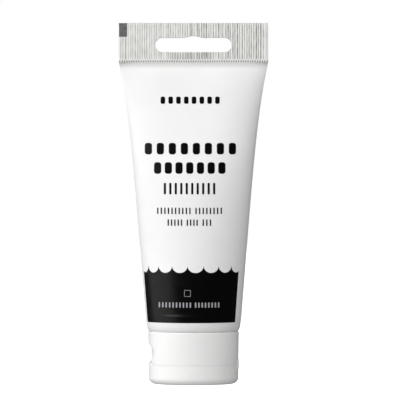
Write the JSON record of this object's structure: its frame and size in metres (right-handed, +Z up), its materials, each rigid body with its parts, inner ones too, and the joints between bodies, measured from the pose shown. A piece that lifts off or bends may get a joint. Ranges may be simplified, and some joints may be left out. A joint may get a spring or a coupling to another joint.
{
  "type": "paint tube",
  "caption": "Soft squeeze tube for artists' paint with a flat crimped end, a hang slot, and a screw-on flip-top cap that it stands on.",
  "frame": {"origin": "middle of the foot, the flat face of the lid that the tube stands on", "axes": "+Z up from the foot to the crimped end, X across the flat width of the crimp, -Y towards the printed front"},
  "size_m": [0.0628, 0.0399, 0.1518],
  "materials": {
    "tube_white": "satin",
    "crimp_grey": "satin",
    "print_black": "satin",
    "head_white": "satin",
    "foil": "satin",
    "paint": "matte",
    "seal_soft": "matte",
    "cap_white": "satin"
  },
  "bodies": {
    "tube": {"sleeve": "tube_white", "end_seal": "crimp_grey", "front_print": "print_black", "tube_head": "head_white", "foil_seal": "foil", "paint_fill": "paint"},
    "seal": {"seal_ring": "seal_soft"},
    "cap": {"cap_base": "cap_white", "film_hinge": "cap_white"},
    "lid": {"lid": "cap_white"}
  },
  "joints": [
    {"name": "cap_travel", "type": "slide", "parent": "tube", "child": "seal", "axis": [0, 0, -1], "range_m": [0, 0.006]},
    {"name": "cap_turn", "type": "hinge", "parent": "seal", "child": "cap", "pos_m": [0, 0, 0.009], "axis": [0, 0, -1], "range_deg": [0, 720]},
    {"name": "lid_open", "type": "hinge", "parent": "cap", "child": "lid", "pos_m": [0.0192, 0, 0.0082], "axis": [0, -1, 0], "range_deg": [0, 150], "deforming": ["film_hinge"]}
  ],
  "couplings": [
    {"joint": "cap_travel", "follows": "cap_turn", "m_per_rad": 0.00047746}
  ]
}
